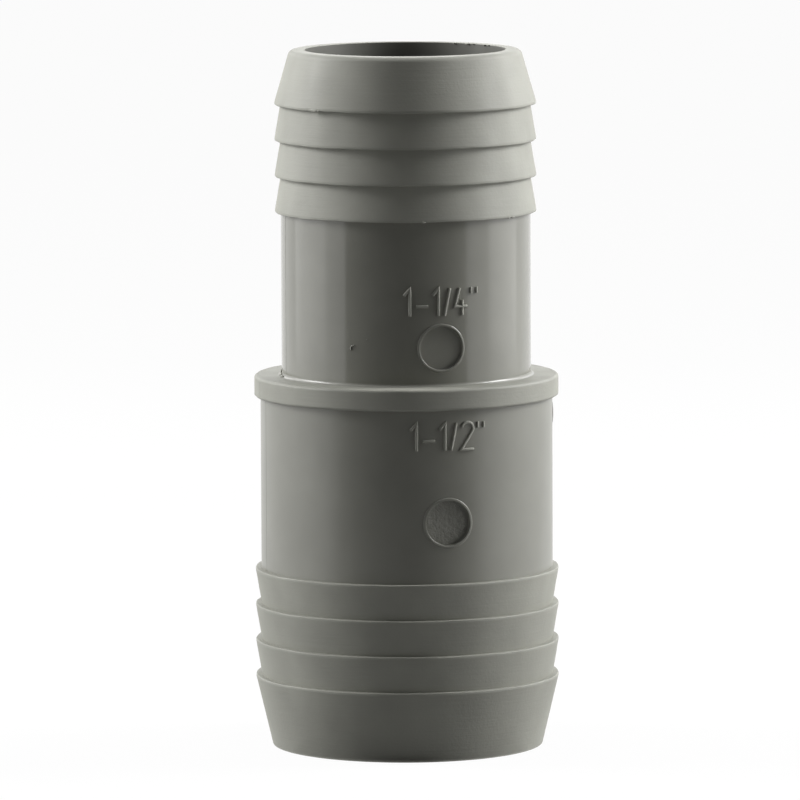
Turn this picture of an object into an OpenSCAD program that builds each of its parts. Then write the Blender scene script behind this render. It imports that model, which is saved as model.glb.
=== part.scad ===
// Hose barb reducer, moulded in one piece, that joins a larger hose to a smaller one.
// Each end is a plain shank with a row of flat-backed barbs. The flange between the two
// shanks is the stop for both hoses, and the bore narrows inside it.
// The piece stands on its large end. The origin is the middle of that end face,
// +Z runs up the bore and -Y is the front.

/* [Large end] */
// Length from the large end face to the flange
large_length = 49.45; // [44:0.05:70]
// Diameter of the plain shank and of the foot of each barb
large_shank_d = 41.1; // [36:0.1:60]
// Wall between the shank and the bore of the large end
large_wall = 3.55; // [2.5:0.05:5]
// How far the nose has tapered in from the shank where it meets the end face
large_nose_taper = 1.5; // [0.5:0.05:2]
// Length of the tapered nose, from the end face to the back of the first barb
large_nose = 10.05; // [7:0.05:14]
// Number of barbs on the large end
large_barbs = 4; // [1:1:4]
// Rounding round the outside of the large end face
large_tip_round = 0.15; // [0.05:0.05:0.6]

/* [Small end] */
// Length from the flange to the small end face
small_length = 45.75; // [41:0.05:70]
// Diameter of the plain shank and of the foot of each barb
small_shank_d = 35.1; // [24:0.1:40]
// Wall between the shank and the bore of the small end
small_wall = 3.45; // [2.5:0.05:5]
// How far the nose has tapered in from the shank where it meets the end face
small_nose_taper = 1.3; // [0.5:0.05:1.5]
// Length of the tapered nose, from the end face to the back of the first barb
small_nose = 7.65; // [6:0.05:12]
// Number of barbs on the small end
small_barbs = 4; // [1:1:4]
// Rounding round the outside of the small end face
small_tip_round = 0.95; // [0.1:0.05:1.1]

/* [Barbs] */
// Distance from the back of one barb to the back of the next
barb_pitch = 5.05; // [4:0.05:6]
// Height of a barb's crest above the shank
barb_height = 0.8; // [0.5:0.01:1.5]
// Width of the crest, measured along the bore
barb_land = 0.35; // [0.3:0.01:0.8]
// Rounding of the crest's back edge
barb_round = 0.15; // [0.05:0.01:0.28]

/* [Flange] */
// How far the flange stands out from the large shank
flange_rise = 0.855; // [0.85:0.005:5]
// Thickness of the flange
flange_t = 3.0; // [2:0.1:6]
// Rounding of the flange's two outer edges
flange_round = 0.4; // [0.1:0.05:0.8]
// Fillet between the flange and the small shank
flange_fillet = 0.45; // [0.2:0.05:1.5]

/* [Bore] */
// Length of the taper that joins the two bores, below the flange's upper face
bore_taper = 4.5; // [2:0.1:10]
// Rounding of the bore's edge at each end face
bore_edge_round = 0.1; // [0.05:0.05:0.5]

/* [Moulding marks] */
// Angle of the two mark discs round from the front, towards +X
mark_angle = 16.2; // [-90:0.1:90]
// Height of a mark disc's lip above the shank
lip_height = 0.15; // [0.05:0.01:0.3]
// Diameter of the recess in the large shank
large_disc_d = 6.3; // [4:0.05:8]
// Outside diameter of the lip round that recess
large_lip_d = 7.1; // [6.5:0.05:9]
// Depth of that recess at its middle, measured from the shank
large_disc_depth = 0.55; // [0.3:0.01:0.8]
// Height of that recess above the last barb of the large end
large_disc_rise = 8.5; // [5:0.05:12]
// Diameter of the recess in the small shank
small_disc_d = 6.15; // [4:0.05:8]
// Outside diameter of the lip round that recess
small_lip_d = 6.85; // [6.5:0.05:9]
// Depth of that recess at its middle, measured from the shank
small_disc_depth = 0.45; // [0.3:0.01:0.8]
// Height of that recess above the flange
small_disc_rise = 5.35; // [5:0.05:12]
// Diameter of the gate's stub on the parting line
gate_d = 4.9; // [2:0.1:5]
// How far the gate's stub stands out from the large shank
gate_height = 0.25; // [0.15:0.05:0.8]
// Distance of the gate's stub below the flange
gate_drop = 2.85; // [2.65:0.05:8]

/* [Hidden] */
// Sides of every round shape, and steps in each rounded corner of the outline
round_sides = 144;
corner_steps = 6;

large_shank_r = large_shank_d / 2;
large_bore_r = large_shank_r - large_wall;
large_tip_r = large_shank_r - large_nose_taper;
small_shank_r = small_shank_d / 2;
small_bore_r = small_shank_r - small_wall;
small_tip_r = small_shank_r - small_nose_taper;
flange_r = large_shank_r + flange_rise;

flange_bottom_z = large_length;
flange_top_z = flange_bottom_z + flange_t;
overall_length = flange_top_z + small_length;
last_large_barb_z = large_nose + (large_barbs - 1) * barb_pitch;
large_disc_z = last_large_barb_z + large_disc_rise;
small_disc_z = flange_top_z + small_disc_rise;
gate_z = flange_bottom_z - gate_drop;

// The mould parts a quarter turn from the marks, and the gate lies on that line
front_angle = -90;
mark_direction = front_angle + mark_angle;
gate_direction = mark_direction + 90;

// Points of an arc about [r, z], from one angle to another
function arc(r, z, radius, from, to) =
    [for (i = [0:corner_steps])
        let (a = from + (to - from) * i / corner_steps)
        [r + radius * cos(a), z + radius * sin(a)]];

// Outer outline of one end, as [radius, distance from its end face], from bore to shank.
// The nose is rounded tangent to the end face and to its taper.
function end_outline(bore_r, tip_r, tip_round, nose, shank_r, count) =
    let (crest_r = shank_r + barb_height)
    let (taper = atan((crest_r - tip_r) / (nose - barb_land)))
    let (tip_arc_r = tip_r - tip_round * tan((90 - taper) / 2))
    concat(
        arc(bore_r + bore_edge_round, bore_edge_round, bore_edge_round, 180, 270),
        arc(tip_arc_r, tip_round, tip_round, -90, -taper),
        [for (i = [0:count - 1]) each barb_outline(nose + i * barb_pitch, shank_r, crest_r)]
    );

// One barb, from the start of its crest over the rounded edge to the foot of its flat back
function barb_outline(back, shank_r, crest_r) =
    concat(
        [[crest_r, back - barb_land]],
        arc(crest_r - barb_round, back - barb_round, barb_round, 0, 90),
        [[shank_r, back]]
    );

// The same outline for the small end, which faces up, from shank to bore
function upper_end(points) =
    [for (i = [len(points) - 1:-1:0]) [points[i][0], overall_length - points[i][1]]];

flange_outline = concat(
    [[large_shank_r, flange_bottom_z]],
    arc(flange_r - flange_round, flange_bottom_z + flange_round, flange_round, -90, 0),
    arc(flange_r - flange_round, flange_top_z - flange_round, flange_round, 0, 90),
    arc(small_shank_r + flange_fillet, flange_top_z + flange_fillet, flange_fillet, -90, -180)
);

bore_outline = [
    [small_bore_r, flange_top_z],
    [large_bore_r, flange_top_z - bore_taper]
];

body_outline = concat(
    end_outline(large_bore_r, large_tip_r, large_tip_round, large_nose, large_shank_r, large_barbs),
    flange_outline,
    upper_end(end_outline(small_bore_r, small_tip_r, small_tip_round, small_nose,
                          small_shank_r, small_barbs)),
    bore_outline
);

// A short round bar that lies along a radius of the shank, from one distance to another
module radial_bar(direction, height, diameter, from, to)
    rotate([0, 0, direction])
        translate([from, 0, height])
            rotate([0, 90, 0])
                cylinder(d = diameter, h = to - from, $fn = round_sides);

// The lip stands on the shank and follows its curve
module disc_lip(shank_r, wall, height, lip_d)
    intersection() {
        radial_bar(mark_direction, height, lip_d, shank_r - wall / 2, shank_r + 2 * lip_height);
        translate([0, 0, height - lip_d])
            cylinder(r = shank_r + lip_height, h = 2 * lip_d, $fn = round_sides);
    }

// The recess has a flat floor and runs out through its lip
module disc_recess(shank_r, height, disc_d, depth)
    radial_bar(mark_direction, height, disc_d, shank_r - depth, shank_r + 2 * lip_height);

// The stub that is left where the plastic was fed into the mould
module gate_stub()
    radial_bar(gate_direction, gate_z, gate_d, large_shank_r - large_wall / 2,
               large_shank_r + gate_height);

module reducer_body() {
    color("#8b8b84")
    difference() {
        union() {
            rotate_extrude($fn = round_sides) polygon(body_outline);
            disc_lip(large_shank_r, large_wall, large_disc_z, large_lip_d);
            disc_lip(small_shank_r, small_wall, small_disc_z, small_lip_d);
            gate_stub();
        }
        disc_recess(large_shank_r, large_disc_z, large_disc_d, large_disc_depth);
        disc_recess(small_shank_r, small_disc_z, small_disc_d, small_disc_depth);
    }
}

reducer_body();
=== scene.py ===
import math

import bpy
import numpy as np
from mathutils import Euler, Matrix


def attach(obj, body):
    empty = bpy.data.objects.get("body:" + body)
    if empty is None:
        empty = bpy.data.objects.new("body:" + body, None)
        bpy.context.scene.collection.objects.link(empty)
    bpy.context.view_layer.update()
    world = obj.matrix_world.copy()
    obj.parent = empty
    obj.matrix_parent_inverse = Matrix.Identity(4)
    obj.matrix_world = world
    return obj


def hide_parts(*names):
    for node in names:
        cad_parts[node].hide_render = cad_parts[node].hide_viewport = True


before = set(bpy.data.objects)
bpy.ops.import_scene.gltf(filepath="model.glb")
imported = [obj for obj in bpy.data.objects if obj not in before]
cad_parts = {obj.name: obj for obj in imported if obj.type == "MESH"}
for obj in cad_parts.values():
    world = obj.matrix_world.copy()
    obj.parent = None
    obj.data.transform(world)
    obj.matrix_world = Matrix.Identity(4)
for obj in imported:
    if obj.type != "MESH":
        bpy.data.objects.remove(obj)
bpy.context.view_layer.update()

# Everything below is in millimetres until a mesh is made
MM = 0.001

# Sizes of the fitting, the same as the frame's
large_length = 49.45
large_shank_r = 20.55
large_wall = 3.55
large_nose_taper = 1.5
large_nose = 10.05
large_tip_round = 0.15
small_length = 45.75
small_shank_r = 17.55
small_wall = 3.45
small_nose_taper = 1.3
small_nose = 7.65
small_tip_round = 0.95
barb_count = 4
barb_pitch = 5.05
barb_height = 0.8
barb_land = 0.35
barb_round = 0.15
flange_rise = 0.855
flange_t = 3.0
flange_round = 0.4
flange_fillet = 0.45
bore_taper = 4.5
bore_edge_round = 0.1

# Moulding marks, on the line of the size figures
mark_angle = 16.2
lip_height = 0.15
large_disc_r = 3.15
large_lip_r = 3.55
large_disc_depth = 0.55
large_disc_rise = 8.5
small_disc_r = 3.075
small_lip_r = 3.425
small_disc_depth = 0.45
small_disc_rise = 5.35
gate_r = 2.45
gate_height = 0.25
gate_drop = 2.85

# Places that follow from the sizes
flange_bottom_z = large_length
flange_top_z = flange_bottom_z + flange_t
overall_length = flange_top_z + small_length
large_barb_top_z = large_nose + (barb_count - 1) * barb_pitch
small_barb_bottom_z = overall_length - small_nose - (barb_count - 1) * barb_pitch
large_disc_z = large_barb_top_z + large_disc_rise
small_disc_z = flange_top_z + small_disc_rise
gate_z = flange_bottom_z - gate_drop
mark_direction = math.radians(mark_angle - 90)
gate_direction = mark_direction + math.pi / 2

# Fineness of the mesh: steps round the bore, and steps in each rounded corner
turn_steps = 360
corner_steps = 7

# Finishes, in the order of the mesh's material slots
SATIN, SMALL_SHANK, LARGE_SHANK, INSIDE, END_FACE, RECESS_FLOOR = range(6)


# The outline of the moulding, as stretches of points with their outward normals

def line(start, end, steps=1):
    """A straight stretch of the outline, with the solid on its left."""
    run = np.subtract(end, start)
    normal = np.array((run[1], -run[0])) / np.hypot(run[0], run[1])
    share = np.linspace(0, 1, steps + 1)[:, None]
    return np.asarray(start) + share * run, np.repeat(normal[None], steps + 1, axis=0)


def corner(centre, radius, start, end, steps=corner_steps):
    """A rounded corner from one angle to another, convex if the angle grows."""
    angle = np.radians(np.linspace(start, end, steps + 1))
    out = np.column_stack((np.cos(angle), np.sin(angle)))
    return np.asarray(centre) + radius * out, out * (1 if end > start else -1)


def turned_over(stretch):
    """The same stretch on the small end, whose distances run down from its end face."""
    points, normals = stretch
    points = np.column_stack((points[::-1, 0], overall_length - points[::-1, 1]))
    return points, np.column_stack((normals[::-1, 0], -normals[::-1, 1]))


def end_stretches(bore_r, shank_r, nose_taper, nose, tip_round):
    """Outline of one end from bore to shank, as radius and distance from its end face."""
    crest_r = shank_r + barb_height
    tip_r = shank_r - nose_taper
    taper = math.degrees(math.atan((crest_r - tip_r) / (nose - barb_land)))
    tip_arc_r = tip_r - tip_round * math.tan(math.radians((90 - taper) / 2))
    mouth = corner((bore_r + bore_edge_round, bore_edge_round), bore_edge_round, 180, 270)
    tip = corner((tip_arc_r, tip_round), tip_round, -90, -taper)
    made = [mouth, line(mouth[0][-1], tip[0][0], 2), tip]
    for i in range(barb_count):
        back = nose + i * barb_pitch
        edge = corner((crest_r - barb_round, back - barb_round), barb_round, 0, 90)
        crest_start = (crest_r, back - barb_land)
        made.append(line(made[-1][0][-1], crest_start, 4))
        made.append(line(crest_start, edge[0][0]))
        made.append(edge)
        made.append(line(edge[0][-1], (shank_r, back)))
    return made


def patch_rows(centre, half_height, rows):
    """Heights of the rows of mesh that a patch replaces."""
    return np.linspace(centre - half_height, centre + half_height, rows + 1)


def shank_stretch(radius, heights):
    """A shank with a row of mesh at each height."""
    points = np.column_stack((np.full(len(heights), radius), heights))
    return points, np.tile((1.0, 0.0), (len(heights), 1))


# Each round mark is a patch of rings in a gap of so many columns and rows of the shank
disc_half_height = 4.6
disc_rows = 22
large_disc_columns = 13
small_disc_columns = 15
gate_half_height = 2.75
gate_rows = 10
gate_columns = 8

large_disc_rows_z = patch_rows(large_disc_z, disc_half_height, disc_rows)
small_disc_rows_z = patch_rows(small_disc_z, disc_half_height - 0.2, disc_rows)
gate_rows_z = patch_rows(gate_z, gate_half_height, gate_rows)
large_shank_z = np.concatenate(([large_barb_top_z], large_disc_rows_z, gate_rows_z, [flange_bottom_z]))
small_shank_z = np.concatenate(
    ([flange_top_z + flange_fillet], small_disc_rows_z, [small_barb_bottom_z]))

flange_r = large_shank_r + flange_rise
large_bore_r = large_shank_r - large_wall
small_bore_r = small_shank_r - small_wall

lower_edge = corner((flange_r - flange_round, flange_bottom_z + flange_round), flange_round, -90, 0)
upper_edge = corner((flange_r - flange_round, flange_top_z - flange_round), flange_round, 0, 90)
fillet = corner((small_shank_r + flange_fillet, flange_top_z + flange_fillet), flange_fillet, -90, -180)

large_end = end_stretches(large_bore_r, large_shank_r, large_nose_taper, large_nose, large_tip_round)
small_end = [turned_over(s) for s in reversed(
    end_stretches(small_bore_r, small_shank_r, small_nose_taper, small_nose, small_tip_round))]

end_face_stretches = 2

outline = []
outline += [(stretch, END_FACE) for stretch in large_end[:end_face_stretches]]
outline += [(stretch, SATIN) for stretch in large_end[end_face_stretches:]]
outline.append((shank_stretch(large_shank_r, large_shank_z), LARGE_SHANK))
outline.append((line((large_shank_r, flange_bottom_z), lower_edge[0][0]), SATIN))
outline.append((lower_edge, SATIN))
outline.append((line(lower_edge[0][-1], upper_edge[0][0], 2), SATIN))
outline.append((upper_edge, SATIN))
outline.append((line(upper_edge[0][-1], fillet[0][0], 2), SATIN))
outline.append((fillet, LARGE_SHANK))
outline.append((shank_stretch(small_shank_r, small_shank_z), SMALL_SHANK))
outline += [(stretch, SATIN) for stretch in small_end[:-end_face_stretches]]
outline += [(stretch, END_FACE) for stretch in small_end[-end_face_stretches:]]
small_bore_top = (small_bore_r, overall_length - bore_edge_round)
large_bore_bottom = (large_bore_r, bore_edge_round)
taper_top = (small_bore_r, flange_top_z)
taper_bottom = (large_bore_r, flange_top_z - bore_taper)
outline.append((line(small_bore_top, taper_top, 8), INSIDE))
outline.append((line(taper_top, taper_bottom, 2), INSIDE))
outline.append((line(taper_bottom, large_bore_bottom, 8), INSIDE))


# The mesh is gathered as vertices, faces, a normal for each corner and a finish for each face

class Moulding:
    def __init__(self):
        self.vertices = []
        self.faces = []
        self.normals = []
        self.finishes = []

    def add_points(self, points):
        first = len(self.vertices)
        self.vertices.extend(map(tuple, points))
        return first

    def add_face(self, corners, normals, finish):
        self.faces.append(tuple(corners))
        self.normals.extend(tuple(n) for n in normals)
        self.finishes.append(finish)


column_angle = mark_direction + np.arange(turn_steps) * 2 * math.pi / turn_steps
column_cos = np.cos(column_angle)
column_sin = np.sin(column_angle)


# The barbs' edges and the flange's wander a little, as a worn mould leaves them
edge_wander = 0.05
edge_waves = ((7, 0.9, 0.40), (13, 2.1, 0.34), (29, 4.4, 0.26))


def wander(z):
    """How far an edge at a height wanders at each column, as a share of the most it may."""
    return sum(share * np.sin(waves * column_angle + start + 1.7 * z) for waves, start, share in edge_waves)


def turned_row(point):
    """One row of the outline turned about the bore. What stands out from the shanks wanders."""
    r, z = point
    below_flange_top = z < flange_top_z + 0.001
    shank_r = large_shank_r if below_flange_top else small_shank_r
    share = min(max((r - shank_r) / barb_height, 0), 1)
    height = z + edge_wander * share * wander(z)
    radius = r + 0.3 * edge_wander * share * wander(2 * z + 5)
    return np.column_stack((radius * column_cos, radius * column_sin, height))


def turned_normals(normal):
    return np.column_stack((normal[0] * column_cos, normal[0] * column_sin, np.full(turn_steps, normal[1])))


def turn_outline(moulding, gaps):
    """Turns the outline into a mesh and leaves the gaps open. Gives each shank's first row."""
    first_rows = {}
    row = moulding.add_points(turned_row(outline[0][0][0][0]))
    start_row = row
    for index, ((points, normals), finish) in enumerate(outline):
        if finish in (LARGE_SHANK, SMALL_SHANK) and len(points) > corner_steps + 1:
            first_rows[finish] = row
        for step in range(len(points) - 1):
            last = index == len(outline) - 1 and step == len(points) - 2
            above = start_row if last else moulding.add_points(turned_row(points[step + 1]))
            below_normals = turned_normals(normals[step])
            above_normals = turned_normals(normals[step + 1])
            middle_z = (points[step][1] + points[step + 1][1]) / 2
            for c in range(turn_steps):
                if any(gap.covers(finish, middle_z, c) for gap in gaps):
                    continue
                d = (c + 1) % turn_steps
                moulding.add_face(
                    (row + c, row + d, above + d, above + c),
                    (below_normals[c], below_normals[d], above_normals[d], above_normals[c]),
                    finish)
            row = above
    return first_rows


class Gap:
    """A gap in a shank's mesh, of whole columns and rows, for one round mark."""

    def __init__(self, finish, shank_r, shank_z, rows_z, first_column, half_columns):
        self.finish = finish
        self.shank_r = shank_r
        self.rows_z = rows_z
        self.first_row = int(np.argmin(abs(shank_z - rows_z[0])))
        self.middle_column = first_column
        self.half_columns = half_columns
        self.centre_z = (rows_z[0] + rows_z[-1]) / 2
        self.direction = mark_direction + first_column * 2 * math.pi / turn_steps

    def covers(self, finish, z, column):
        if finish != self.finish or not self.rows_z[0] < z < self.rows_z[-1]:
            return False
        offset = (column - self.middle_column + turn_steps // 2) % turn_steps - turn_steps // 2
        return -self.half_columns <= offset < self.half_columns

    def border(self, shank_first_row):
        """Vertices round the gap, anticlockwise seen from outside, with their places on the shank."""
        rows = len(self.rows_z) - 1
        half = self.half_columns
        steps = [(c, 0) for c in range(-half, half)]
        steps += [(half, r) for r in range(rows)]
        steps += [(c, rows) for c in range(half, -half, -1)]
        steps += [(-half, r) for r in range(rows, 0, -1)]
        vertices = []
        places = []
        for c, r in steps:
            column = (self.middle_column + c) % turn_steps
            vertices.append(shank_first_row + (self.first_row + r) * turn_steps + column)
            places.append((c * 2 * math.pi / turn_steps * self.shank_r, self.rows_z[r] - self.centre_z))
        return vertices, np.array(places)


def add_mark(moulding, gap, shank_first_row, stretches, floor_finish, spread_rings=5):
    """Fills a gap with rings. Stretches run inwards, as radius and height above the shank.
    A stretch's last value says how flat its rings lie: 0 on the shank's curve, 1 in a plane.
    The last stretch and the middle have the floor's finish."""
    border, places = gap.border(shank_first_row)
    count = len(border)
    around = np.arctan2(places[:, 1], places[:, 0])
    round_cos = np.cos(around)
    round_sin = np.sin(around)
    out = np.array((math.cos(gap.direction), math.sin(gap.direction), 0))
    right = np.array((-math.sin(gap.direction), math.cos(gap.direction), 0))
    up = np.array((0, 0, 1.0))

    def place(x, height, y, flat):
        """Points at x across and y up, at a height above the curved or flat shank."""
        curved = np.sqrt(gap.shank_r ** 2 - x ** 2)
        depth = (1 - flat) * curved + flat * gap.shank_r + height
        return x[:, None] * right + depth[:, None] * out + y[:, None] * up + (0, 0, gap.centre_z)

    def shank_normals(x):
        sine = x / gap.shank_r
        return sine[:, None] * right + np.sqrt(1 - sine ** 2)[:, None] * out

    def ring_normals(x, normal, flat):
        base = (1 - flat) * shank_normals(x) + flat * out
        radial = round_cos[:, None] * right + round_sin[:, None] * up
        made = normal[0] * radial + normal[1] * base
        return made / np.linalg.norm(made, axis=1)[:, None]

    outer_r = stretches[0][0][0][0]
    ring = border
    x_now = gap.shank_r * np.sin(places[:, 0] / gap.shank_r)
    normals_now = shank_normals(x_now)
    for k in range(1, spread_rings + 1):
        share = k / spread_rings
        x = (1 - share) * x_now + share * outer_r * round_cos
        y = (1 - share) * places[:, 1] + share * outer_r * round_sin
        first = moulding.add_points(place(x, 0, y, 0))
        inner = list(range(first, first + count))
        normals_inner = shank_normals(x)
        join_rings(moulding, ring, inner, normals_now, normals_inner, gap.finish)
        ring = inner
        normals_now = normals_inner
    for index, (points, normals, flats) in enumerate(stretches):
        finish = floor_finish if index == len(stretches) - 1 else gap.finish
        for step in range(len(points) - 1):
            x_outer = points[step][0] * round_cos
            x_inner = points[step + 1][0] * round_cos
            first = moulding.add_points(
                place(x_inner, points[step + 1][1], points[step + 1][0] * round_sin, flats[step + 1]))
            inner = list(range(first, first + count))
            join_rings(moulding, ring, inner,
                       ring_normals(x_outer, normals[step], flats[step]),
                       ring_normals(x_inner, normals[step + 1], flats[step + 1]), finish)
            ring = inner
    last_point = stretches[-1][0][-1]
    middle = moulding.add_points(
        [out * (gap.shank_r + last_point[1]) + (0, 0, gap.centre_z)])
    for i in range(count):
        moulding.add_face((ring[i], ring[(i + 1) % count], middle), (out, out, out), floor_finish)


def join_rings(moulding, outer, inner, outer_normals, inner_normals, finish):
    count = len(outer)
    for i in range(count):
        j = (i + 1) % count
        moulding.add_face((outer[i], outer[j], inner[j], inner[i]),
                          (outer_normals[i], outer_normals[j], inner_normals[j], inner_normals[i]),
                          finish)


def level(stretch, start, end):
    """Adds to a stretch how flat its rings lie, from its first point to its last."""
    points, normals = stretch
    return points, normals, np.linspace(start, end, len(points))


def recess_stretches(disc_r, lip_r, depth):
    """A low rounded lip on the shank, then a recess with a flat floor."""
    lip_round = min(lip_height, (lip_r - disc_r) / 2)
    floor_round = 0.12
    rise = corner((lip_r - lip_round, lip_height - lip_round), lip_round, 0, 90, 4)
    fall = corner((disc_r + lip_round * 0.6, lip_height - lip_round * 0.6), lip_round * 0.6, 90, 180, 4)
    foot = corner((disc_r - floor_round, floor_round - depth), floor_round, 0, -90, 3)
    return [
        level(line((lip_r, 0), rise[0][0]), 0, 0),
        level(rise, 0, 0),
        level(line(rise[0][-1], fall[0][0]), 0, 0),
        level(fall, 0, 0),
        level(line(fall[0][-1], foot[0][0], 2), 0, 1),
        level(foot, 1, 1),
        level(line(foot[0][-1], (0.4, -depth), 3), 1, 1),
    ]


def stub_stretches():
    """The gate's stub: a short post with a rounded edge and a flat end."""
    foot_round = 0.03
    edge_round = 0.03
    foot = corner((gate_r + foot_round, foot_round), foot_round, -90, -180, 4)
    edge = corner((gate_r - edge_round, gate_height - edge_round), edge_round, 0, 90, 4)
    return [
        level(foot, 0, 0),
        level(line(foot[0][-1], edge[0][0]), 0, 1),
        level(edge, 1, 1),
        level(line(edge[0][-1], (0.3, gate_height), 3), 1, 1),
    ]


def build_body():
    quarter_turn = turn_steps // 4
    large_disc = Gap(LARGE_SHANK, large_shank_r, large_shank_z, large_disc_rows_z, 0, large_disc_columns)
    small_disc = Gap(SMALL_SHANK, small_shank_r, small_shank_z, small_disc_rows_z, 0, small_disc_columns)
    gate = Gap(LARGE_SHANK, large_shank_r, large_shank_z, gate_rows_z, quarter_turn, gate_columns)
    moulding = Moulding()
    first_rows = turn_outline(moulding, [large_disc, small_disc, gate])
    add_mark(moulding, large_disc, first_rows[LARGE_SHANK],
             recess_stretches(large_disc_r, large_lip_r, large_disc_depth), RECESS_FLOOR)
    add_mark(moulding, small_disc, first_rows[SMALL_SHANK],
             recess_stretches(small_disc_r, small_lip_r, small_disc_depth), LARGE_SHANK)
    add_mark(moulding, gate, first_rows[LARGE_SHANK], stub_stretches(), SATIN, 3)

    mesh = bpy.data.meshes.new("moulded_body")
    mesh.from_pydata((np.array(moulding.vertices) * MM).tolist(), [], moulding.faces)
    mesh.polygons.foreach_set("material_index", moulding.finishes)
    mesh.polygons.foreach_set("use_smooth", [True] * len(moulding.faces))
    mesh.normals_split_custom_set(moulding.normals)
    mesh.update()
    body = bpy.data.objects.new("moulded_body", mesh)
    bpy.context.scene.collection.objects.link(body)
    return body


# The raised size figures, drawn with single strokes on the unrolled shank

stroke_width = 0.44
stroke_height = 0.24
stroke_sink = 0.12
cap_height = 3.8

ONE = [[(-0.80, 2.85), (0.0, 3.8), (0.0, 0.0)]]
DASH = [[(-0.85, 1.32), (0.85, 1.32)]]
SLASH = [[(-0.38, 0.0), (0.38, 3.8)]]
TICKS = [[(-0.46, 2.98), (-0.46, 3.8)], [(0.46, 2.98), (0.46, 3.8)]]
FOUR = [[(-0.20, 3.8), (-0.92, 1.2), (0.98, 1.2)], [(0.20, 2.1), (0.20, 0.0)]]


def two_strokes():
    """A round head, then a slanting neck down to the foot."""
    head = [(-0.02 + 0.86 * math.cos(a), 2.94 + 0.86 * math.sin(a))
            for a in np.radians(np.linspace(165, -20, 12))]
    return [head + [(-0.98, 0.0), (0.96, 0.0)]]


def size_mark(last_figure):
    """Strokes of a whole mark, centred on the mark line."""
    laid_out = [(-4.44, ONE), (-2.72, DASH), (-0.43, ONE), (0.82, SLASH), (2.87, last_figure), (4.90, TICKS)]
    return [[(x + centre, y) for x, y in stroke] for centre, figure in laid_out for stroke in figure]


def stroke_sections(stroke):
    """Points along a stroke with the mitre across it at each one."""
    points = [np.array(p, float) for p in stroke]
    fine = []
    for a, b in zip(points, points[1:]):
        pieces = max(1, int(np.linalg.norm(b - a) / 0.35))
        fine += [a + (b - a) * k / pieces for k in range(pieces)]
    fine.append(points[-1])
    runs = [(b - a) / np.linalg.norm(b - a) for a, b in zip(fine, fine[1:])]
    sections = []
    for i, point in enumerate(fine):
        before = runs[max(i - 1, 0)]
        after = runs[min(i, len(runs) - 1)]
        mean = (before + after) / np.linalg.norm(before + after)
        across = np.array((-mean[1], mean[0]))
        stretch = min(1 / max(np.dot(mean, after), 0.35), 1.8)
        sections.append((point, across * stretch))
    return sections


def build_strokes(name, strokes, shank_r, base_z, width, height):
    """Each stroke is a closed bar with a rounded back, bedded in the shank."""
    half = width / 2
    angles = np.radians(np.linspace(0, 180, 9))
    section = [(half, -stroke_sink)]
    section += [(half * math.cos(a), height * math.sin(a)) for a in angles]
    section += [(-half, -stroke_sink)]
    vertices = []
    faces = []
    for stroke in strokes:
        sections = stroke_sections(stroke)
        first = len(vertices)
        size = len(section)
        for point, across in sections:
            for side, rise in section:
                u, v = point + across * side
                angle = mark_direction + u / shank_r
                radius = shank_r + rise
                vertices.append((radius * math.cos(angle), radius * math.sin(angle), base_z + v))
        for k in range(len(sections) - 1):
            a = first + k * size
            for i in range(size):
                j = (i + 1) % size
                faces.append((a + i, a + j, a + size + j, a + size + i))
        end = first + (len(sections) - 1) * size
        faces.append(tuple(first + i for i in reversed(range(size))))
        faces.append(tuple(end + i for i in range(size)))
    mesh = bpy.data.meshes.new(name)
    mesh.from_pydata((np.array(vertices) * MM).tolist(), [], faces)
    mesh.polygons.foreach_set("use_smooth", [True] * len(faces))
    mesh.update()
    mark = bpy.data.objects.new(name, mesh)
    bpy.context.scene.collection.objects.link(mark)
    soften = mark.modifiers.new("ends", "BEVEL")
    soften.width = 0.05 * MM
    soften.segments = 2
    soften.limit_method = "ANGLE"
    soften.angle_limit = math.radians(50)
    return mark


# Shader node groups that the finishes share

def new_group(name, inputs, outputs):
    """A node group with named sockets, and its input and output nodes."""
    group = bpy.data.node_groups.new(name, "ShaderNodeTree")
    for label, kind, default in inputs:
        socket = group.interface.new_socket(label, in_out="INPUT", socket_type=kind)
        if default is not None:
            socket.default_value = default
    for label, kind in outputs:
        group.interface.new_socket(label, in_out="OUTPUT", socket_type=kind)
    return group, group.nodes.new("NodeGroupInput"), group.nodes.new("NodeGroupOutput")


def add_node(tree, kind, **settings):
    """A node with its properties and socket values set by name."""
    node = tree.nodes.new(kind)
    for label, value in settings.items():
        if label == "sockets":
            for socket, socket_value in value.items():
                node.inputs[socket].default_value = socket_value
        else:
            setattr(node, label, value)
    return node


def moulded_grain_group():
    """The fine grain that a worn mould leaves: its height and a mask of its hollows."""
    group, given, result = new_group(
        "moulded_grain",
        [("Grain Size", "NodeSocketFloat", 900.0), ("Blotch Size", "NodeSocketFloat", 120.0)],
        [("Height", "NodeSocketFloat"), ("Blotches", "NodeSocketFloat")])
    place = add_node(group, "ShaderNodeTexCoord")
    grain = add_node(group, "ShaderNodeTexNoise", sockets={"Detail": 3.0, "Roughness": 0.6})
    blotch = add_node(group, "ShaderNodeTexNoise", sockets={"Detail": 2.0, "Roughness": 0.5})
    links = group.links
    links.new(place.outputs["Object"], grain.inputs["Vector"])
    links.new(place.outputs["Object"], blotch.inputs["Vector"])
    links.new(given.outputs["Grain Size"], grain.inputs["Scale"])
    links.new(given.outputs["Blotch Size"], blotch.inputs["Scale"])
    links.new(grain.outputs["Fac"], result.inputs["Height"])
    links.new(blotch.outputs["Fac"], result.inputs["Blotches"])
    return group


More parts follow.
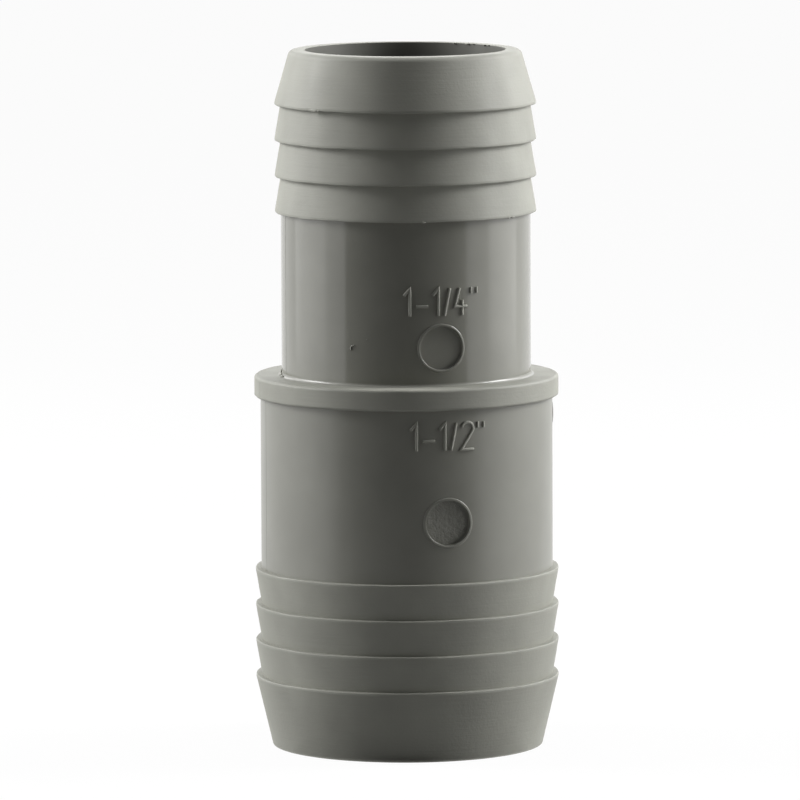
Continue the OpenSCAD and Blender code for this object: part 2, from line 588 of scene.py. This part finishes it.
def flow_group():
    """Streaks along the bore where the plastic flowed and cooled, as a soft mask."""
    group, given, result = new_group(
        "flow_streaks",
        [("Streaks", "NodeSocketFloat", 260.0), ("Stretch", "NodeSocketFloat", 0.12)],
        [("Mask", "NodeSocketFloat")])
    place = add_node(group, "ShaderNodeTexCoord")
    squash = add_node(group, "ShaderNodeCombineXYZ", sockets={"X": 1.0, "Y": 1.0})
    scaled = add_node(group, "ShaderNodeVectorMath", operation="MULTIPLY")
    noise = add_node(group, "ShaderNodeTexNoise", sockets={"Detail": 2.0, "Roughness": 0.45})
    links = group.links
    links.new(given.outputs["Stretch"], squash.inputs["Z"])
    links.new(place.outputs["Object"], scaled.inputs[0])
    links.new(squash.outputs["Vector"], scaled.inputs[1])
    links.new(scaled.outputs["Vector"], noise.inputs["Vector"])
    links.new(given.outputs["Streaks"], noise.inputs["Scale"])
    links.new(noise.outputs["Fac"], result.inputs["Mask"])
    return group


def tooling_group():
    """Faint lines round the bore, left by the tool that turned the mould."""
    group, given, result = new_group(
        "tooling_lines",
        [("Lines", "NodeSocketFloat", 2400.0), ("Squash", "NodeSocketFloat", 0.05)],
        [("Mask", "NodeSocketFloat")])
    place = add_node(group, "ShaderNodeTexCoord")
    squash = add_node(group, "ShaderNodeCombineXYZ", sockets={"Z": 1.0})
    scaled = add_node(group, "ShaderNodeVectorMath", operation="MULTIPLY")
    noise = add_node(group, "ShaderNodeTexNoise", sockets={"Detail": 3.0, "Roughness": 0.6})
    links = group.links
    links.new(given.outputs["Squash"], squash.inputs["X"])
    links.new(given.outputs["Squash"], squash.inputs["Y"])
    links.new(place.outputs["Object"], scaled.inputs[0])
    links.new(squash.outputs["Vector"], scaled.inputs[1])
    links.new(scaled.outputs["Vector"], noise.inputs["Vector"])
    links.new(given.outputs["Lines"], noise.inputs["Scale"])
    links.new(noise.outputs["Fac"], result.inputs["Mask"])
    return group


def ranged(tree, source, low, high, to_low, to_high):
    """A value spread from one range to another."""
    spread = add_node(tree, "ShaderNodeMapRange", sockets={
        "From Min": low, "From Max": high, "To Min": to_low, "To Max": to_high})
    tree.links.new(source, spread.inputs["Value"])
    return spread.outputs["Result"]


GRAIN = moulded_grain_group()
FLOW = flow_group()
TOOLING = tooling_group()

# The plastic's darker and lighter tint in its blotches. The satin tints are painted lighter than the polished ones of
# the same plastic: painted light on the satin faces
SATIN_PAINTED_LIGHT_TINTS = ((0.270, 0.271, 0.238, 1), (0.302, 0.303, 0.266, 1))
POLISHED_TINTS = ((0.222, 0.222, 0.195, 1), (0.240, 0.240, 0.211, 1))
# The bore's tints are painted darker than the shanks': painted shade inside the bore
BORE_PAINTED_SHADE_TINTS = ((0.148, 0.148, 0.134, 1), (0.164, 0.164, 0.148, 1))
PVC_IOR = 1.54


def pvc(name, tints, roughness, grain, line_depth):
    """Grey PVC. The two roughnesses are those of its flow streaks, and the grain is a size and
    a depth. Both depths are in metres, and polished plastic has no lines."""
    material = bpy.data.materials.new(name)
    material.use_nodes = True
    tree = material.node_tree
    tree.nodes.clear()
    output = add_node(tree, "ShaderNodeOutputMaterial")
    plastic = add_node(tree, "ShaderNodeBsdfPrincipled", sockets={"IOR": PVC_IOR})
    grains = add_node(tree, "ShaderNodeGroup", node_tree=GRAIN)
    grains.inputs["Grain Size"].default_value = grain[0]
    grains.inputs["Blotch Size"].default_value = 140.0
    flow = add_node(tree, "ShaderNodeGroup", node_tree=FLOW)
    flow.inputs["Streaks"].default_value = 230.0
    flow.inputs["Stretch"].default_value = 0.10
    tint = add_node(tree, "ShaderNodeMix", data_type="RGBA")
    tint.inputs["A"].default_value = tints[0]
    tint.inputs["B"].default_value = tints[1]
    links = tree.links
    links.new(ranged(tree, grains.outputs["Blotches"], 0.35, 0.65, 0, 1), tint.inputs["Factor"])
    links.new(tint.outputs["Result"], plastic.inputs["Base Color"])
    links.new(ranged(tree, flow.outputs["Mask"], 0.3, 0.7, *roughness), plastic.inputs["Roughness"])
    fine = add_node(tree, "ShaderNodeBump", sockets={"Strength": 1.0, "Distance": grain[1]})
    links.new(grains.outputs["Height"], fine.inputs["Height"])
    if line_depth:
        tooling = add_node(tree, "ShaderNodeGroup", node_tree=TOOLING)
        tooling.inputs["Lines"].default_value = 2400.0
        tooling.inputs["Squash"].default_value = 0.05
        lines = add_node(tree, "ShaderNodeBump", sockets={"Strength": 1.0, "Distance": line_depth})
        links.new(tooling.outputs["Mask"], lines.inputs["Height"])
        links.new(lines.outputs["Normal"], fine.inputs["Normal"])
    links.new(fine.outputs["Normal"], plastic.inputs["Normal"])
    links.new(plastic.outputs["BSDF"], output.inputs["Surface"])
    return material


# The satin faces take the satin tints, which are painted lighter: painted light
satin_painted_light_pvc = pvc("satin_painted_light_pvc", SATIN_PAINTED_LIGHT_TINTS, (0.56, 0.66), (2200.0, 0.000022), 0.000026)
small_shank_pvc = pvc("small_shank_pvc", POLISHED_TINTS, (0.11, 0.16), (1500.0, 0.0000015), 0)
large_shank_pvc = pvc("large_shank_pvc", POLISHED_TINTS, (0.285, 0.335), (1800.0, 0.000004), 0)
# The bore takes the darker tints: painted shade inside the bore
bore_painted_shade_pvc = pvc("bore_painted_shade_pvc", BORE_PAINTED_SHADE_TINTS, (0.30, 0.40), (1500.0, 0.000004), 0)
# The end faces take the lighter satin tints too: painted light
end_face_painted_light_pvc = pvc("end_face_painted_light_pvc", SATIN_PAINTED_LIGHT_TINTS, (0.56, 0.66), (1500.0, 0.000006), 0)
recess_pvc = pvc("recess_pvc", POLISHED_TINTS, (0.50, 0.60), (1100.0, 0.00022), 0)

body = build_body()
for finish in (satin_painted_light_pvc, small_shank_pvc, large_shank_pvc, bore_painted_shade_pvc, end_face_painted_light_pvc, recess_pvc):
    body.data.materials.append(finish)
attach(body, "root")
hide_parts("reducer_body")

small_mark_base_z = 62.35
large_mark_base_z = 43.9
small_mark = build_strokes("small_size_mark", size_mark(FOUR), small_shank_r, small_mark_base_z,
                           stroke_width, stroke_height)
large_mark = build_strokes("large_size_mark", size_mark(two_strokes()), large_shank_r, large_mark_base_z,
                           stroke_width, stroke_height)

# The mould parts a quarter turn from the marks, and leaves a low ridge up each shank
seam_width = 0.22
small_seam_height = 0.03
large_seam_height = 0.025


def seams(radius, bottom, top):
    """The two ridges on a shank, as strokes on the unrolled shank."""
    quarter = radius * math.pi / 2
    return [[(quarter, bottom), (quarter, top)], [(-quarter, bottom), (-quarter, top)]]


small_seam = build_strokes("small_shank_seam", seams(small_shank_r, flange_top_z + flange_fillet, small_barb_bottom_z),
                           small_shank_r, 0, seam_width, small_seam_height)
large_seam = build_strokes("large_shank_seam", seams(large_shank_r, large_barb_top_z, flange_bottom_z),
                           large_shank_r, 0, seam_width, large_seam_height)
flange_seam = build_strokes("flange_seam", seams(flange_r, flange_bottom_z + flange_round, flange_top_z - flange_round),
                            flange_r, 0, seam_width, large_seam_height)

# Bits of flash and nicks: angle round from the front, height, distance out, and size round, out and up
flash_bits = (
    (-43.8, 90.66, 18.30, 0.70, 0.14, 0.26),
    (-41.0, 90.62, 18.34, 0.26, 0.12, 0.16),
    (-46.2, 90.66, 18.34, 0.24, 0.10, 0.14),
    (7.6, 75.46, 18.32, 0.30, 0.10, 0.16),
    (54.6, 75.48, 18.30, 0.42, 0.14, 0.20),
    (51.6, 75.42, 18.28, 0.24, 0.12, 0.14),
    (-85.0, 52.60, 17.72, 0.90, 0.22, 0.22),
    (-88.5, 52.80, 17.58, 0.40, 0.14, 0.42),
    (-78.0, 52.56, 17.82, 0.80, 0.20, 0.14),
    (-86.0, 49.78, 21.30, 0.60, 0.12, 0.20),
    (-79.5, 49.66, 21.16, 0.46, 0.12, 0.14),
    (-70.0, 49.64, 21.16, 0.40, 0.10, 0.12),
    (150.0, 98.10, 14.10, 0.22, 0.22, 0.12),
    (141.0, 98.08, 14.10, 0.40, 0.24, 0.14),
    (136.5, 98.10, 14.10, 0.20, 0.20, 0.12),
    (127.0, 98.08, 14.12, 0.30, 0.26, 0.14),
    (123.0, 98.10, 14.10, 0.20, 0.20, 0.12),
)

# Low blisters in the polished small shank: a small curl with a speck beside it
blisters = (
    (-25.9, 57.72, 17.56, 0.11, 0.12, 0.30),
    (-25.3, 58.06, 17.56, 0.16, 0.12, 0.13),
    (-24.5, 58.16, 17.56, 0.14, 0.12, 0.09),
    (-18.4, 59.00, 17.56, 0.10, 0.09, 0.09),
)

# A low lump just in front of the gate's stub, in the bore's darker tints: painted shade for the shaded side of the stub
gate_painted_shade_lump = ((96.9, 46.6, 20.57, 0.36, 0.275, 1.95),)


def build_lumps(name, lumps):
    """Small rounded lumps, each sunk by half or more."""
    vertices = []
    faces = []
    rings = 7
    spokes = 12
    for azimuth, z, radius, size_round, size_out, size_up in lumps:
        direction = math.radians(azimuth - 90)
        out = np.array((math.cos(direction), math.sin(direction), 0))
        along = np.array((-math.sin(direction), math.cos(direction), 0))
        first = len(vertices)
        middle = radius * out + (0, 0, z)
        for i in range(1, rings):
            fall = math.pi * i / rings
            for k in range(spokes):
                turn = 2 * math.pi * k / spokes
                uneven = 1 + 0.14 * math.sin(3 * turn + azimuth) + 0.08 * math.sin(2 * fall + 5 * turn)
                vertices.append(middle + along * size_round * uneven * math.sin(fall) * math.cos(turn)
                                + out * size_out * uneven * math.sin(fall) * math.sin(turn)
                                + (0, 0, size_up * math.cos(fall)))
        top = len(vertices)
        vertices.append(middle + (0, 0, size_up))
        vertices.append(middle - (0, 0, size_up))
        for k in range(spokes):
            j = (k + 1) % spokes
            faces.append((top, first + j, first + k))
            faces.append((top + 1, first + (rings - 2) * spokes + k, first + (rings - 2) * spokes + j))
            for i in range(rings - 2):
                a = first + i * spokes
                faces.append((a + k, a + j, a + spokes + j, a + spokes + k))
    mesh = bpy.data.meshes.new(name)
    mesh.from_pydata((np.array(vertices) * MM).tolist(), [], faces)
    mesh.polygons.foreach_set("use_smooth", [True] * len(faces))
    mesh.update()
    made = bpy.data.objects.new(name, mesh)
    bpy.context.scene.collection.objects.link(made)
    return made


flash = build_lumps("flash_bits", flash_bits)
shank_blisters = build_lumps("shank_blisters", blisters)
# The lump beside the gate's stub is painted shade, in the bore's darker finish
stub_painted_shade_lump = build_lumps("stub_painted_shade_lump", gate_painted_shade_lump)

for piece, finish in ((small_mark, satin_painted_light_pvc), (large_mark, satin_painted_light_pvc), (small_seam, small_shank_pvc),
                      (large_seam, large_shank_pvc), (flange_seam, satin_painted_light_pvc), (flash, satin_painted_light_pvc),
                      (shank_blisters, small_shank_pvc), (stub_painted_shade_lump, bore_painted_shade_pvc)):
    piece.data.materials.append(finish)
    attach(piece, "root")


# Floor, light and camera

def mesh_object(name, vertices, faces):
    mesh = bpy.data.meshes.new(name)
    mesh.from_pydata(vertices, [], faces)
    mesh.update()
    made = bpy.data.objects.new(name, mesh)
    bpy.context.scene.collection.objects.link(made)
    return made


def white_to_the_eye(tree, white_share):
    """The share of plain white that the camera and reflections see, and no other light."""
    path = add_node(tree, "ShaderNodeLightPath")
    seen = add_node(tree, "ShaderNodeMath", operation="ADD", use_clamp=True)
    seen_through = add_node(tree, "ShaderNodeMath", operation="ADD", use_clamp=True)
    share = add_node(tree, "ShaderNodeMath", operation="MULTIPLY")
    share.inputs[1].default_value = white_share
    tree.links.new(path.outputs["Is Camera Ray"], seen.inputs[0])
    tree.links.new(path.outputs["Is Glossy Ray"], seen.inputs[1])
    tree.links.new(seen.outputs["Value"], seen_through.inputs[0])
    tree.links.new(path.outputs["Is Transmission Ray"], seen_through.inputs[1])
    tree.links.new(seen_through.outputs["Value"], share.inputs[0])
    return share.outputs["Value"]


floor_reach = 12.0
floor = mesh_object("floor",
                    [(-floor_reach, -floor_reach, 0), (floor_reach, -floor_reach, 0),
                     (floor_reach, floor_reach, 0), (-floor_reach, floor_reach, 0)],
                    [(0, 1, 2, 3)])
floor_paint = bpy.data.materials.new("floor_paint")
floor_paint.use_nodes = True
tree = floor_paint.node_tree
tree.nodes.clear()
paint = add_node(tree, "ShaderNodeBsdfDiffuse", sockets={"Color": (0.85, 0.85, 0.85, 1)})
white = add_node(tree, "ShaderNodeEmission", sockets={"Color": (1, 1, 1, 1), "Strength": 1.0})
clear = add_node(tree, "ShaderNodeBsdfTransparent")
side = add_node(tree, "ShaderNodeNewGeometry")
face = add_node(tree, "ShaderNodeMixShader")
both = add_node(tree, "ShaderNodeMixShader")
output = add_node(tree, "ShaderNodeOutputMaterial")
tree.links.new(white_to_the_eye(tree, 0.96), face.inputs["Fac"])
tree.links.new(paint.outputs["BSDF"], face.inputs[1])
tree.links.new(white.outputs["Emission"], face.inputs[2])
tree.links.new(side.outputs["Backfacing"], both.inputs["Fac"])
tree.links.new(face.outputs["Shader"], both.inputs[1])
tree.links.new(clear.outputs["BSDF"], both.inputs[2])
tree.links.new(both.outputs["Shader"], output.inputs["Surface"])
floor.data.materials.append(floor_paint)

cloth_black = bpy.data.materials.new("cloth_black")
cloth_black.use_nodes = True
cloth_black.node_tree.nodes["Principled BSDF"].inputs["Base Color"].default_value = (0.01, 0.01, 0.01, 1)
cloth_grey = bpy.data.materials.new("cloth_grey")
cloth_grey.use_nodes = True
cloth_grey.node_tree.nodes["Principled BSDF"].inputs["Base Color"].default_value = (0.2, 0.2, 0.2, 1)
cloth_grey.node_tree.nodes["Principled BSDF"].inputs["Roughness"].default_value = 1.0
cloth_grey.node_tree.nodes["Principled BSDF"].inputs["Specular IOR Level"].default_value = 0.0
cloth_black.node_tree.nodes["Principled BSDF"].inputs["Roughness"].default_value = 1.0
cloth_black.node_tree.nodes["Principled BSDF"].inputs["Specular IOR Level"].default_value = 0.0

# A dark cloth lies round the fitting, and hangs behind the camera between the two soft boxes
cloth_lift = 0.0002
cloth_near = 0.0191
cloth_far = 0.30
screen_angle = math.radians(57)
screen_distance = 2.2
screen_top = 2.6


def cloth_sheet(name, turns, edge_points, cloth, in_reflections):
    """A sheet through rows of points round the fitting, each row so far out and so high."""
    vertices = [(radius * math.sin(a), -radius * math.cos(a), height)
                for radius, height in edge_points for a in turns]
    steps = len(turns)
    faces = [(k * steps + i, k * steps + i + 1, (k + 1) * steps + i + 1, (k + 1) * steps + i)
             for k in range(len(edge_points) - 1) for i in range(steps - 1)]
    sheet = mesh_object(name, vertices, faces)
    sheet.data.materials.append(cloth)
    sheet.visible_camera = False
    sheet.visible_glossy = in_reflections
    sheet.visible_shadow = False


front_angles = np.linspace(-screen_angle, screen_angle, 25)
cloth_sheet("floor_cloth", np.linspace(0, 2 * math.pi, 73),
            ((cloth_near, cloth_lift), (cloth_far, cloth_lift)), cloth_grey, False)
cloth_sheet("front_cloth", front_angles,
            ((cloth_near, 2 * cloth_lift), (cloth_far, 2 * cloth_lift)), cloth_grey, True)
cloth_sheet("front_screen", front_angles,
            ((cloth_far, cloth_lift), (screen_distance, cloth_lift), (screen_distance, screen_top)),
            cloth_black, True)

world = bpy.data.worlds.new("white_surround")
bpy.context.scene.world = world
world.use_nodes = True
tree = world.node_tree
tree.nodes.clear()
surround = add_node(tree, "ShaderNodeBackground", sockets={"Color": (1, 1, 1, 1), "Strength": 0.1})
backdrop = add_node(tree, "ShaderNodeBackground", sockets={"Color": (1, 1, 1, 1), "Strength": 1.0})
chosen = add_node(tree, "ShaderNodeMixShader")
output = add_node(tree, "ShaderNodeOutputWorld")
tree.links.new(white_to_the_eye(tree, 1.0), chosen.inputs["Fac"])
tree.links.new(surround.outputs["Background"], chosen.inputs[1])
tree.links.new(backdrop.outputs["Background"], chosen.inputs[2])
tree.links.new(chosen.outputs["Shader"], output.inputs["Surface"])


def soft_box(name, azimuth, distance, width, height, middle_z, brightness):
    """A soft box that faces the fitting from an angle round from the front, towards +X."""
    light = bpy.data.lights.new(name, "AREA")
    light.shape = "RECTANGLE"
    light.size = width
    light.size_y = height
    light.energy = brightness * math.pi * width * height
    lamp = bpy.data.objects.new(name, light)
    turn = math.radians(azimuth)
    lamp.location = (distance * math.sin(turn), -distance * math.cos(turn), middle_z)
    lamp.rotation_euler = (math.radians(90), 0, turn)
    bpy.context.scene.collection.objects.link(lamp)
    return lamp


# Each side has a high key box beside the fitting, one further back and a low one further forward
box_distance = 0.5
soft_boxes = (
    ("right_key", 98, 0.19, 0.30, 0.35, 19.5, True),
    ("right_back", 120, 0.26, 0.30, 0.35, 5.2, True),
    ("right_low", 88, 0.62, 0.20, 0.10, 2.2, False),
    ("right_side", 102, 0.36, 0.20, 0.10, 0.9, True),
    ("left_key", -98, 0.19, 0.30, 0.35, 16.0, True),
    ("left_back", -120, 0.26, 0.30, 0.35, 3.7, True),
    ("left_low", -88, 0.62, 0.20, 0.10, 2.0, False),
    ("left_side", -100, 0.40, 0.20, 0.10, 0.8, True),
    ("behind", 180, 0.70, 0.50, 0.45, 2.0, True),
)
for name, azimuth, width, height, middle_z, brightness, in_reflections in soft_boxes:
    lamp = soft_box(name, azimuth, box_distance, width, height, middle_z, brightness)
    lamp.visible_glossy = in_reflections
overhead = soft_box("overhead", 0, 0, 0.40, 0.40, 0.9, 1.5)
overhead.rotation_euler = (0, 0, 0)

# The camera looks from the front and a little above
focus_point = np.array((0, 0, 0.0491))
camera_distance = 1.185
camera_elevation = math.radians(6.5)
camera_roll = math.radians(-0.25)
photo_size = 800
pixels_per_metre = 7100
focus_pixel = (406.5, 397.05)
sensor_width = 36.0

camera_data = bpy.data.cameras.new("camera")
camera_data.sensor_width = sensor_width
camera_data.lens = sensor_width * pixels_per_metre * camera_distance / photo_size
camera_data.clip_start = 0.05
camera_data.clip_end = 50
camera = bpy.data.objects.new("camera", camera_data)
bpy.context.scene.collection.objects.link(camera)
bpy.context.scene.camera = camera
back = np.array((0, -math.cos(camera_elevation), math.sin(camera_elevation)))
camera.location = focus_point + camera_distance * back
# Pans by the focus point's distance from the middle of the picture, then rolls
pan = math.atan((focus_pixel[0] - photo_size / 2) / (pixels_per_metre * camera_distance))
tilt = math.atan((photo_size / 2 - focus_pixel[1]) / (pixels_per_metre * camera_distance))
aim = Euler((math.radians(90) - camera_elevation - tilt, 0, pan)).to_matrix()
camera.rotation_euler = (aim @ Matrix.Rotation(camera_roll, 3, "Z")).to_euler()

bpy.context.scene.view_settings.view_transform = "Standard"
